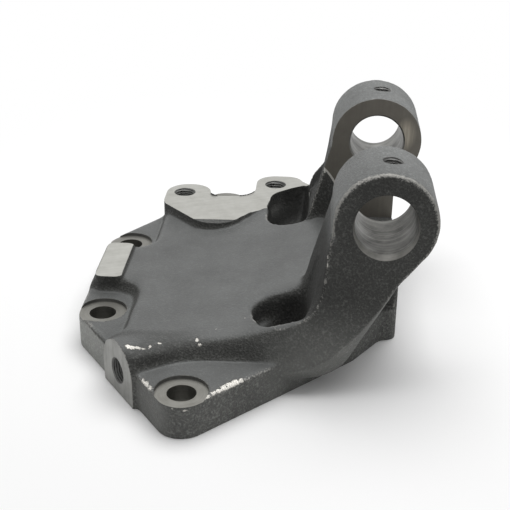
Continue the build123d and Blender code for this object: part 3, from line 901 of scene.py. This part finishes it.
# Places where the paint has gone, in millimetres: centre and size.
wear = {
    "chips": [
        ((-34.5, -116.2, 34.0), (3.0, 2.4, 3.0)), ((-32.0, -116.0, 33.4), (3.4, 2.2, 3.0)),
        ((-29.0, -115.2, 32.4), (3.4, 1.9, 3.0)), ((-26.0, -115.0, 32.1), (2.6, 1.4, 3.0)),
        ((-21.8, -112.5, 32.1), (1.1, 4.0, 3.0)), ((-17.0, -108.2, 32.2), (2.4, 1.6, 3.0)),
        ((4.4, -103.6, 33.2), (1.8, 3.0, 3.0)), ((6.4, -106.2, 32.4), (2.4, 1.5, 3.0)),
        ((-23.4, -134.0, 22.5), (1.8, 4.2, 2.5)), ((-21.4, -137.0, 22.5), (3.0, 4.8, 2.5)),
        ((-18.6, -141.0, 22.5), (3.4, 4.4, 2.5)),
        ((9.5, -151.6, 22.0), (2.4, 2.4, 1.8)), ((12.5, -149.6, 22.2), (2.6, 2.5, 1.8)),
        ((15.5, -147.0, 22.3), (2.9, 2.8, 1.8)), ((18.5, -144.0, 22.4), (3.3, 3.2, 1.8)),
        ((21.5, -141.0, 22.4), (3.7, 3.6, 1.8)), ((24.5, -138.0, 22.4), (4.3, 4.2, 2.0)),
        ((27.5, -135.0, 22.4), (4.9, 4.8, 2.0)), ((30.5, -132.2, 22.4), (5.3, 5.2, 2.0)),
        ((33.4, -129.6, 22.4), (4.2, 4.0, 2.0)),
        ((13.4, -148.1, 22.0), (3.0, 2.7, 1.9)), ((10.4, -151.9, 22.0), (2.7, 2.4, 1.7)),
        ((7.0, -155.6, 22.0), (2.6, 2.2, 1.6)), ((3.4, -157.4, 22.0), (2.4, 2.1, 1.5)),
        ((-1.1, -157.0, 21.5), (2.2, 2.0, 1.4)), ((-5.2, -155.8, 21.5), (2.1, 1.8, 1.3)),
        ((-8.9, -153.1, 21.5), (1.9, 1.7, 1.2)), ((-12.2, -149.3, 21.5), (1.8, 1.5, 1.1)),
        ((-0.1, -156.4, 19.2), (1.9, 1.7, 1.2)), ((3.7, -156.5, 18.8), (2.1, 1.8, 1.3)),
        ((-3.4, -156.6, 19.5), (1.4, 1.3, 0.9)),
        ((-9.4, -100.9, 36.0), (1.0, 0.8, 3.0)), ((14.8, -94.1, 36.0), (1.0, 0.8, 3.0)),
        ((31.5, -84.7, 37.0), (1.0, 1.0, 3.0)), ((9.1, -102.4, 35.0), (0.9, 0.7, 3.0)),
        ((79.2, -97.0, 87.0), (1.0, 1.6, 3.0)), ((79.4, -98.3, 82.5), (0.9, 1.6, 2.2)),
    ],
}


# Masks that the cast skin reads: top = upward faces and the heads' tops, painted lighter as painted
# light, and the arms' front ends, which it lightens too, pale = the arms' lower parts and downward
# faces, painted paler as painted light from the floor, wall = upright faces, painted paler below the
# flange's top as painted light from the floor and the left walls most, coarse = how rough the sand
# left it, shade = brightness, that is painted light on the heads, undersides and foot and painted
# shade in the hollows, on the arms' fronts and on the web, edgeTurn = how far an outside edge stands
# out, and chips = the largest of 1 - distance / size over the chips.
def paintMasks(mesh):
    points = readArrays(mesh)
    normals = np.empty(len(points) * 3)
    mesh.vertices.foreach_get("normal", normals)
    x, y, z = points.T
    nx, ny, nz = normals.reshape(-1, 3).T
    rim = abs(np.hypot(x - cast["pivotX"], z - cast["pivotZ"]) - cast["headR"])
    measures = {"x": x, "y": y, "z": z, "side": abs(y), "rim": rim, "nx": nx, "nz": nz}

    def maskOf(name):
        share = 1.0
        for measure, zero, one in places[name]:
            share = share * fade(measures[measure], zero, one)
        return share

    inHollow = np.maximum(insideHollow(hollow, x, y), insideHollow(bowl, x, y)) * maskOf("hollow")
    nearHollow = np.maximum(insideHollow(hollow, x, y, paint["hollowMargin"]), inHollow)
    outside = 1.0 - inHollow
    web, head, under, armFoot = maskOf("web"), maskOf("head"), maskOf("under"), maskOf("armFoot")

    # Upward faces get painted light, less on the rolled front edge and none in the hollows and on the web.
    flat = maskOf("flat") * outside * (1.0 - web) * (1.0 - paint["rollLess"] * maskOf("roll"))
    headsAndArmEnds = np.maximum(head * maskOf("headTop"), maskOf("armEnd"))
    store(mesh, "top", np.maximum(flat * maskOf("lowTop"), paint["headTop"] * headsAndArmEnds))
    # The arms' lower parts and downward faces are painted paler, as painted light from the floor.
    store(mesh, "pale", np.maximum(paint["armFootPale"] * armFoot, under) * outside)
    # Upright faces, painted paler below the flange's top as painted light from the floor, the left walls
    # most.
    wall = maskOf("wall") * outside
    store(mesh, "wall", wall * (1.0 + paint["leftWallMore"] * maskOf("leftWall")))

    smooth = np.maximum(np.maximum(wall * maskOf("frontWall"), under), armFoot)
    coarse = 1.0 - paint["topSmooth"] * np.maximum(flat * maskOf("smoothTop"), paint["headSmooth"] * head)
    store(mesh, "coarse", coarse * (1.0 - paint["wallSmooth"] * smooth))

    # Painted light on the heads, undersides and foot, and painted shade in the hollows, on the arms' fronts
    # and on the web.
    shade = 1.0 + paint["headLight"] * head + paint["underLight"] * under
    shade += paint["footLight"] * maskOf("foot")
    shade *= 1.0 - (1.0 - paint["hollowShade"]) * inHollow
    shade *= 1.0 - (1.0 - paint["armShade"]) * maskOf("armFront") * outside
    shade *= 1.0 - (1.0 - paint["webShade"]) * web * outside
    store(mesh, "shade", shade)

    turn = np.empty(len(points))
    mesh.attributes["edgeTurn"].data.foreach_get("value", turn)
    a, b = readEdges(mesh).T
    near = np.bincount(a, turn[b], len(points)) + np.bincount(b, turn[a], len(points))
    used = np.bincount(np.concatenate([a, b]), minlength=len(points))
    turn = 0.5 * turn + 0.5 * near / np.maximum(used, 1)
    turn *= 1.0 + paint["headEdgeMore"] * maskOf("headEdge")
    store(mesh, "edgeTurn", turn * (1.0 - nearHollow * (1.0 - web)))

    chips = np.zeros(len(points))
    for centre, size in wear["chips"]:
        far = np.sqrt((((points - np.array(centre)) / np.array(size)) ** 2).sum(1))
        chips = np.maximum(chips, 1.0 - far)
    store(mesh, "chips", chips)


bracket, solid = makeBlank()
machine(bracket, cutters(solid))
bracket.data.shade_smooth()
bracket.data.set_sharp_from_angle(angle=math.radians(blank["sharpAngle"]))
paintMasks(bracket.data)
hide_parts("bracket")
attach(bracket, "root")
print("casting made,", len(bracket.data.vertices), "points")


def newMaterial(name):
    material = bpy.data.materials.new(name)
    material.use_nodes = True
    return material, material.node_tree, material.node_tree.nodes["Principled BSDF"]


# Links a node's inputs to sockets, or sets them to constants, by name or number.
def setInputs(tree, node, inputs):
    for key, value in inputs.items():
        if isinstance(value, bpy.types.NodeSocket):
            tree.links.new(value, node.inputs[key])
        else:
            node.inputs[key].default_value = value
    return node


def addNode(tree, kind, inputs=None, **settings):
    node = tree.nodes.new(kind)
    for name, value in settings.items():
        setattr(node, name, value)
    return setInputs(tree, node, inputs or {})


def maths(tree, operation, a, b=0.0, clamp=False):
    return addNode(tree, "ShaderNodeMath", {0: a, 1: b}, operation=operation, use_clamp=clamp).outputs[0]


def times(tree, value, *others):
    for other in others:
        value = maths(tree, "MULTIPLY", value, other)
    return value


def plus(tree, value, *others):
    for other in others:
        value = maths(tree, "ADD", value, other)
    return value


def ramp(tree, value, low, high, start=0.0, end=1.0):
    inputs = {"Value": value, "From Min": low, "From Max": high, "To Min": start, "To Max": end}
    return addNode(tree, "ShaderNodeMapRange", inputs).outputs[0]


# The shader's colour mix has its share at input 0 and its colours at 6 and 7.
def blendColour(tree, share, a, b):
    return addNode(tree, "ShaderNodeMix", {0: share, 6: a, 7: b}, data_type="RGBA").outputs[2]


def noise(tree, vector, scale, detail=2.0, roughness=0.5):
    inputs = {"Vector": vector, "Scale": scale, "Detail": detail, "Roughness": roughness}
    return addNode(tree, "ShaderNodeTexNoise", inputs).outputs[0]


def distance(tree, place, centre):
    node = addNode(tree, "ShaderNodeVectorMath", {0: place, 1: centre}, operation="DISTANCE")
    return node.outputs["Value"]


def objectPlace(tree):
    return addNode(tree, "ShaderNodeTexCoord").outputs["Object"]


def attributeOf(tree, name):
    node = addNode(tree, "ShaderNodeAttribute", attribute_name=name, attribute_type="GEOMETRY")
    return node.outputs["Fac"]


def placeGroup(tree, group, inputs):
    return addNode(tree, "ShaderNodeGroup", inputs, node_tree=group).outputs


# Node group with named inputs and outputs. An input with no value is a vector.
def newGroup(name, inputs, outputs):
    group = bpy.data.node_groups.new(name, "ShaderNodeTree")
    for socket, value in inputs.items():
        kind = "NodeSocketFloat" if value else "NodeSocketVector"
        made = group.interface.new_socket(socket, in_out="INPUT", socket_type=kind)
        if value:
            made.default_value = value
    for socket in outputs:
        group.interface.new_socket(socket, in_out="OUTPUT", socket_type="NodeSocketFloat")
    return group, group.nodes.new("NodeGroupInput").outputs, group.nodes.new("NodeGroupOutput")


# Pattern of the sand-cast skin: shares of its parts, and their scales against the cells.
sand = {
    "cells": 0.55,
    "grit": 0.6,
    "broad": 0.4,
    "smoothness": 0.6,
    "gritScale": 1.9,
    "broadScale": 0.45,
    "toneScale": 28.0,       # of the slow change in brightness, in cells a metre
}


# Sand-cast skin: smooth cells with broader swells and a finer grit over them.
def makeSandSkin():
    group, given, made = newGroup("sand skin", {"Vector": None, "Size": 1.6}, ["Height", "Tone"])
    place = given["Vector"]
    scale = maths(group, "DIVIDE", 1.0 / mm, given["Size"])
    cells = addNode(group, "ShaderNodeTexVoronoi",
                    {"Vector": place, "Scale": scale, "Smoothness": sand["smoothness"]},
                    feature="SMOOTH_F1").outputs[0]
    broad = noise(group, place, times(group, scale, sand["broadScale"]))
    grit = noise(group, place, times(group, scale, sand["gritScale"]), 3.0, 0.65)
    height = plus(group, times(group, cells, sand["cells"]), times(group, grit, sand["grit"]),
                  times(group, broad, sand["broad"]))
    tone = noise(group, place, sand["toneScale"], 4.0, 0.6)
    setInputs(group, made, {"Height": height, "Tone": tone})
    return group


# Bare metal on outside edges: 0 to 1 as the edge stands out from low to high, broken up by noise.
def makeEdgeWear():
    inputs = {"Vector": None, "Turn": 1.0, "Low": 0.1, "High": 0.2, "Break Up": 0.1, "Scale": 900.0}
    group, given, made = newGroup("edge wear", inputs, ["Mask"])
    rough = noise(group, given["Vector"], given["Scale"], 3.0, 0.7)
    shift = times(group, maths(group, "SUBTRACT", rough, 0.5), given["Break Up"])
    turn = plus(group, given["Turn"], shift)
    setInputs(group, made, {"Mask": ramp(group, turn, given["Low"], given["High"])})
    return group


# Marks of a tool: pitch in millimetres, and the shares and scales of its parts.
marks = {
    "stretch": 0.02,         # how slowly the lines change along themselves
    "wideScale": 0.18,
    "stainScale": 90.0,
    "unevenness": 0.45,
    "turn": 1.2,             # direction of the straight marks, in radians
    "lines": (0.32, 0.68),
    "stains": (0.38, 0.72),
    "lineShare": 0.45,
    "stainShare": 0.45,
    "moreRough": 0.14,       # how much rougher the stains are
    "rubbedLines": (0.30, 0.55),
    "rubbedCore": 0.35,      # share of the rubbed patch's size that is wholly rubbed
}


# Tool marks: fine lines wherever the pattern's first axis runs across them, and stains.
def makeToolMarks():
    inputs = {"Vector": None, "Pitch": 0.4, "Unevenness": 0.5}
    group, given, made = newGroup("tool marks", inputs, ["Lines", "Stains"])
    scale = maths(group, "DIVIDE", 1.0 / mm, given["Pitch"])
    stretch = (1.0, marks["stretch"], marks["stretch"])
    stretched = addNode(group, "ShaderNodeMapping", {"Vector": given["Vector"], "Scale": stretch}).outputs[0]
    lines = noise(group, stretched, scale, 3.0, 0.6)
    wide = noise(group, stretched, times(group, scale, marks["wideScale"]))
    mixed = addNode(group, "ShaderNodeMix", {0: given["Unevenness"], 2: lines, 3: wide}, data_type="FLOAT")
    stains = noise(group, given["Vector"], marks["stainScale"], 4.0, 0.6)
    setInputs(group, made, {"Lines": mixed.outputs[0], "Stains": stains})
    return group


# Painted cast skin: its colours, painted light and shade among them, and where its grain, wear,
# chips and specks start and end.
skin = {
    "dark": (0.049, 0.0495, 0.0465, 1),
    # colour of the walls, the arms' lower parts and downward faces, paler as painted light from the floor
    "pale": (0.125, 0.127, 0.120, 1),
    # colour of upward faces and the heads' tops, lighter as painted light
    "light": (0.095, 0.098, 0.096, 1),
    "wornAndLit": (0.27, 0.265, 0.25, 1),
    "bare": (0.54, 0.525, 0.49, 1),
    "grainSize": 1.15,       # millimetres
    "grainDepth": 1.0,
    "grain": (0.62, 1.02),   # heights of the pattern at which it is a pit and a peak
    "pit": 0.80,             # how dark the skin is in its pits, and how light on its peaks: painted shade and painted highlights
    "peak": 1.9,
    "toneFrom": (0.3, 0.7),  # slow change in brightness
    "tone": (0.8, 1.2),
    "wear": (0.060, 0.085),  # how far an edge stands out where it starts to wear and is worn
    "wearBreak": 0.16,
    "wearScale": 900.0,
    "flakeScale": 520.0,
    "chip": (0.30, 0.42),
    "chipBreak": 1.5,        # how far noise moves a chip's outline
    "chipDepth": 0.5,
    "line": (0.45, 0.70),    # light line where a machined face meets the skin, partly worn paint and partly a painted highlight on the step
    "lineBreak": 1.6,
    "lineShare": 0.8,
    "wallTop": (0.5, -1.5),  # millimetres above the flange's top
    "gritScale": 1900.0,     # light specks, painted glints on the grain, and the patches that they come in
    "grit": (0.65, 0.73),
    "patchScale": 45.0,
    "patch": (0.42, 0.60),
    "glintShare": 0.6,
    "metal": 0.7,            # of what is worn or chipped
    "rough": (0.46, 0.70),   # of its smoothest and its coarsest parts
    "smoothest": 0.28,
    "specular": 0.28,
}


# Where the skin is chipped, and where a light line, partly worn paint and partly a painted highlight on the
# step, runs beside a machined face.
def flaked(tree, place):
    flake = maths(tree, "SUBTRACT", noise(tree, place, skin["flakeScale"], 4.0, 0.8), 0.5)
    chip = plus(tree, attributeOf(tree, "chips"), times(tree, flake, skin["chipBreak"]))
    line = plus(tree, attributeOf(tree, "cutEdge"), times(tree, flake, skin["lineBreak"]))
    return ramp(tree, chip, *skin["chip"]), ramp(tree, line, *skin["line"], 0.0, skin["lineShare"])


# Skin's colour with painted light and shade: dark, paler on walls below the flange's top, on the
# arms' lower parts and on downward faces as painted light from the floor, lighter on upward faces and
# the heads' tops as painted light, and darker in the pits and lighter on the peaks of its grain as
# painted shade and painted highlights, which count as much as coarse says, all then made brighter
# or darker by the shade attribute's painted light and shade.
def skinColourAndLight(tree, place, grain, coarse):
    level = addNode(tree, "ShaderNodeSeparateXYZ", {0: place}).outputs["Z"]
    start, end = [(cast["flangeTop"] + above) * mm for above in skin["wallTop"]]
    # Walls below the flange's top and the pale parts are painted paler, as painted light from the floor, and
    # upward faces lighter, as painted light.
    wall = times(tree, attributeOf(tree, "wall"), ramp(tree, level, start, end))
    pale = maths(tree, "MAXIMUM", attributeOf(tree, "pale"), wall)
    colour = blendColour(tree, pale, skin["dark"], skin["pale"])
    colour = blendColour(tree, attributeOf(tree, "top"), colour, skin["light"])
    # Pits of the grain are painted darker and its peaks lighter, as painted shade and painted highlights.
    relief = ramp(tree, grain["Height"], *skin["grain"])
    relief = ramp(tree, times(tree, relief, relief), 0.0, 1.0, skin["pit"], skin["peak"])
    relief = plus(tree, times(tree, relief, coarse), maths(tree, "SUBTRACT", 1.0, coarse))
    tone = ramp(tree, grain["Tone"], *skin["toneFrom"], *skin["tone"])
    # Brightness times the grain's painted shade and highlights, the painted light and shade of the shade
    # attribute, and the left walls' painted light.
    tone = times(tree, tone, relief, attributeOf(tree, "shade"), maths(tree, "MAXIMUM", wall, 1.0))
    return addNode(tree, "ShaderNodeVectorMath", {0: colour, 3: tone}, operation="SCALE").outputs[0]


# Cast skin: its colour with its painted light and shade, light specks of painted glints, worn edges,
# a light line that is partly a painted highlight, and chips over it, and its grain as relief.
def makeCastSkin(sandSkin, edgeWear):
    material, tree, shader = newMaterial("painted cast iron")
    place = objectPlace(tree)
    coarse = attributeOf(tree, "coarse")
    grain = placeGroup(tree, sandSkin, {"Vector": place, "Size": skin["grainSize"]})
    low, high = skin["wear"]
    inputs = {"Vector": place, "Turn": attributeOf(tree, "edgeTurn"), "Low": low, "High": high,
              "Break Up": skin["wearBreak"], "Scale": skin["wearScale"]}
    edge = placeGroup(tree, edgeWear, inputs)
    chip, line = flaked(tree, place)
    # Worn edges, and the light line beside machined faces, which is partly a painted highlight.
    wornAndLit = maths(tree, "MAXIMUM", edge["Mask"], line)
    # Light specks in patches on the coarse skin: painted glints.
    grit = ramp(tree, noise(tree, place, skin["gritScale"]), *skin["grit"])
    patch = ramp(tree, noise(tree, place, skin["patchScale"]), *skin["patch"])
    grit = times(tree, grit, patch, coarse, skin["glintShare"])
    colour = blendColour(tree, grit, skinColourAndLight(tree, place, grain, coarse), skin["wornAndLit"])
    colour = blendColour(tree, wornAndLit, colour, skin["wornAndLit"])
    colour = blendColour(tree, chip, colour, skin["bare"])
    relief = times(tree, grain["Height"], coarse)
    relief = maths(tree, "SUBTRACT", relief, times(tree, chip, skin["chipDepth"]))
    bump = {"Height": relief, "Strength": 1.0, "Distance": skin["grainDepth"] * mm}
    setInputs(tree, shader, {
        "Base Color": colour,
        "Metallic": times(tree, maths(tree, "MAXIMUM", wornAndLit, chip), skin["metal"]),
        "Roughness": ramp(tree, coarse, skin["smoothest"], 1.0, *skin["rough"]),
        "Specular IOR Level": skin["specular"],
        "Normal": addNode(tree, "ShaderNodeBump", bump).outputs[0],
    })
    return material


# Machined finishes: colour, colour of the stains, roughness, and pitch and depth of the marks in
# millimetres. The faced ears also have a patch that the swinging part has rubbed.
machined = {
    "milled": {
        "colour": (0.435, 0.433, 0.405, 1), "stain": (0.29, 0.287, 0.265, 1),
        "rough": 0.40, "depth": 0.03, "pitch": 0.9, "metal": 0.85,
    },
    "spotface": {
        "colour": (0.235, 0.231, 0.212, 1), "stain": (0.12, 0.117, 0.104, 1),
        "rough": 0.36, "depth": 0.03, "pitch": 0.8, "metal": 0.9,
    },
    "bored": {
        "colour": (0.27, 0.269, 0.253, 1), "stain": (0.055, 0.054, 0.050, 1),
        "rough": 0.33, "depth": 0.06, "pitch": 1.6, "metal": 0.95, "streaks": 0.75,
    },
    "faced": {
        "colour": (0.155, 0.145, 0.125, 1), "stain": (0.11, 0.102, 0.087, 1),
        "rough": 0.42, "depth": 0.02, "pitch": 0.7, "metal": 0.5,
        "rubbed": (0.40, 0.365, 0.30, 1), "rubbedPlace": (131.0, 46.8, 112.5),
        "rubbedTall": 1.7, "rubbedSize": 12.5,
    },
    "port face": {
        "colour": (0.33, 0.33, 0.315, 1), "stain": (0.17, 0.17, 0.16, 1),
        "rough": 0.45, "depth": 0.03, "pitch": 1.2, "metal": 0.8,
    },
    "rim": {
        "colour": (0.19, 0.187, 0.175, 1), "stain": (0.05, 0.049, 0.045, 1),
        "rough": 0.4, "depth": 0.03, "pitch": 0.9, "metal": 0.9,
    },
    # Threads' finish, also put on the spotfaces' upright walls as painted shade.
    "threadAndShade": {
        "colour": (0.16, 0.16, 0.155, 1), "stain": (0.05, 0.05, 0.048, 1),
        "rough": 0.4, "depth": 0.01, "pitch": 1.0, "metal": 0.8,
    },
}


# Coordinate whose first axis crosses the marks: straight for a milled face, the distance from
# the nearest bolt hole for a spotface, and the place along the pivot for a bore.
def markedPlace(tree, name):
    place = objectPlace(tree)
    if name in ("milled", "threadAndShade", "faced", "port face"):
        turn = (0.0, 0.0, marks["turn"])
        return addNode(tree, "ShaderNodeMapping", {"Vector": place, "Rotation": turn}).outputs[0]
    x, y, z = addNode(tree, "ShaderNodeSeparateXYZ", {0: place}).outputs
    if name in ("bored", "rim"):
        return addNode(tree, "ShaderNodeCombineXYZ", {0: y, 1: x, 2: z}).outputs[0]
    level = addNode(tree, "ShaderNodeCombineXYZ", {0: x, 1: maths(tree, "ABSOLUTE", y)}).outputs[0]
    holes = [(holeX * mm, holeY * mm, 0.0) for holeX, holeY in cast["boltHoles"] if holeY > 0]
    far = [distance(tree, level, hole) for hole in holes]
    r = plus(tree, maths(tree, "MINIMUM", *far), z)
    return addNode(tree, "ShaderNodeCombineXYZ", {0: r, 1: x, 2: y}).outputs[0]


# Patch that the swinging part has rubbed: from 1 in its core to 0 at its size, taller than wide,
# and broken up by the marks.
def rubbedPatch(tree, look, lines):
    stretch = (look["rubbedTall"], 1.0, 1.0)
    centre = [value * mm * more for value, more in zip(look["rubbedPlace"], stretch)]
    spot = addNode(tree, "ShaderNodeVectorMath", {0: objectPlace(tree), 1: stretch}, operation="MULTIPLY")
    far = distance(tree, spot.outputs[0], centre)
    size = look["rubbedSize"]
    patch = ramp(tree, far, size * mm, size * marks["rubbedCore"] * mm)
    return times(tree, patch, ramp(tree, lines, *marks["rubbedLines"]))


# Machined metal: its colour and its stains' colour by share = lines + stains of the tool marks.
def makeMachined(name, toolMarks):
    look = machined[name]
    material, tree, shader = newMaterial(name + " iron")
    inputs = {"Vector": markedPlace(tree, name), "Pitch": look["pitch"], "Unevenness": marks["unevenness"]}
    pattern = placeGroup(tree, toolMarks, inputs)
    lineShare = look.get("streaks", marks["lineShare"])
    lines = times(tree, ramp(tree, pattern["Lines"], *marks["lines"]), lineShare)
    stains = times(tree, ramp(tree, pattern["Stains"], *marks["stains"]), marks["stainShare"])
    share = maths(tree, "ADD", lines, stains, clamp=True)
    colour = blendColour(tree, share, look["colour"], look["stain"])
    if "rubbed" in look:
        colour = blendColour(tree, rubbedPatch(tree, look, pattern["Lines"]), colour, look["rubbed"])
    bump = {"Height": pattern["Lines"], "Strength": 1.0, "Distance": look["depth"] * mm}
    setInputs(tree, shader, {
        "Base Color": colour,
        "Metallic": look["metal"],
        "Roughness": ramp(tree, share, 0.0, 1.0, look["rough"], look["rough"] + marks["moreRough"]),
        "Normal": addNode(tree, "ShaderNodeBump", bump).outputs[0],
    })
    return material


sandSkin, edgeWear, toolMarks = makeSandSkin(), makeEdgeWear(), makeToolMarks()
bracket.data.materials.clear()
bracket.data.materials.append(makeCastSkin(sandSkin, edgeWear))
for name in finishes[1:]:
    bracket.data.materials.append(makeMachined(name, toolMarks))
sortFaces(bracket.data)
print("materials made")

# Studio: a pale floor that turns into a plain white backdrop, and soft light from above.
studio = {
    "floor": 0.93,           # as the camera and reflections see it
    "floorBounce": 0.75,     # as it lights the casting
    "floorHalf": 3000.0,     # millimetres
    "floorLevel": -0.3,
    "fadeStart": 0.20,       # metres from the middle where it turns into the backdrop
    "fadeEnd": 0.50,
    "sky": 0.35,
    "lampPower": 17.0,
    "lampSize": 1.3,
    "lampPlace": (0.15, 0.25, 1.25),
}


# 1 for what the camera sees directly, in a mirror or through glass, and 0 for light on its way.
def seenDirectly(tree):
    path = addNode(tree, "ShaderNodeLightPath").outputs
    both = maths(tree, "ADD", path["Is Camera Ray"], path["Is Glossy Ray"], clamp=True)
    return maths(tree, "ADD", both, path["Is Transmission Ray"], clamp=True)


def makeFloor():
    half, level = studio["floorHalf"], studio["floorLevel"]
    corners = np.array([(x * half, y * half, level) for x, y in ((-1, -1), (1, -1), (1, 1), (-1, 1))])
    floor = addObject("floor", meshOf("floor", [(corners, np.array([[0, 1, 2], [0, 2, 3]]))]))
    material, tree, shader = newMaterial("floor")
    grey, bounce = studio["floor"], studio["floorBounce"]
    colour = blendColour(tree, seenDirectly(tree), (bounce, bounce, bounce, 1), (grey, grey, grey, 1))
    setInputs(tree, shader, {"Base Color": colour, "Roughness": 0.8, "Specular IOR Level": 0.0})
    white = addNode(tree, "ShaderNodeEmission", {"Color": (1, 1, 1, 1), "Strength": 1.0})
    far = distance(tree, objectPlace(tree), (0.0, 0.0, 0.0))
    share = times(tree, ramp(tree, far, studio["fadeStart"], studio["fadeEnd"]), seenDirectly(tree))
    both = addNode(tree, "ShaderNodeMixShader", {0: share, 1: shader.outputs[0], 2: white.outputs[0]})
    tree.links.new(both.outputs[0], tree.nodes["Material Output"].inputs["Surface"])
    floor.data.materials.append(material)


def makeLight():
    world = bpy.data.worlds.new("world")
    bpy.context.scene.world = world
    world.use_nodes = True
    tree = world.node_tree
    sky = tree.nodes["Background"]
    sky.inputs["Color"].default_value = (1, 1, 1, 1)
    tree.links.new(ramp(tree, seenDirectly(tree), 0.0, 1.0, studio["sky"], 1.0), sky.inputs["Strength"])
    data = bpy.data.lights.new("top light", "AREA")
    data.size = studio["lampSize"]
    data.energy = studio["lampPower"]
    lamp = bpy.data.objects.new("top light", data)
    lamp.location = studio["lampPlace"]
    bpy.context.scene.collection.objects.link(lamp)


makeFloor()
makeLight()
bpy.context.scene.view_settings.view_transform = "Standard"
print("studio made")
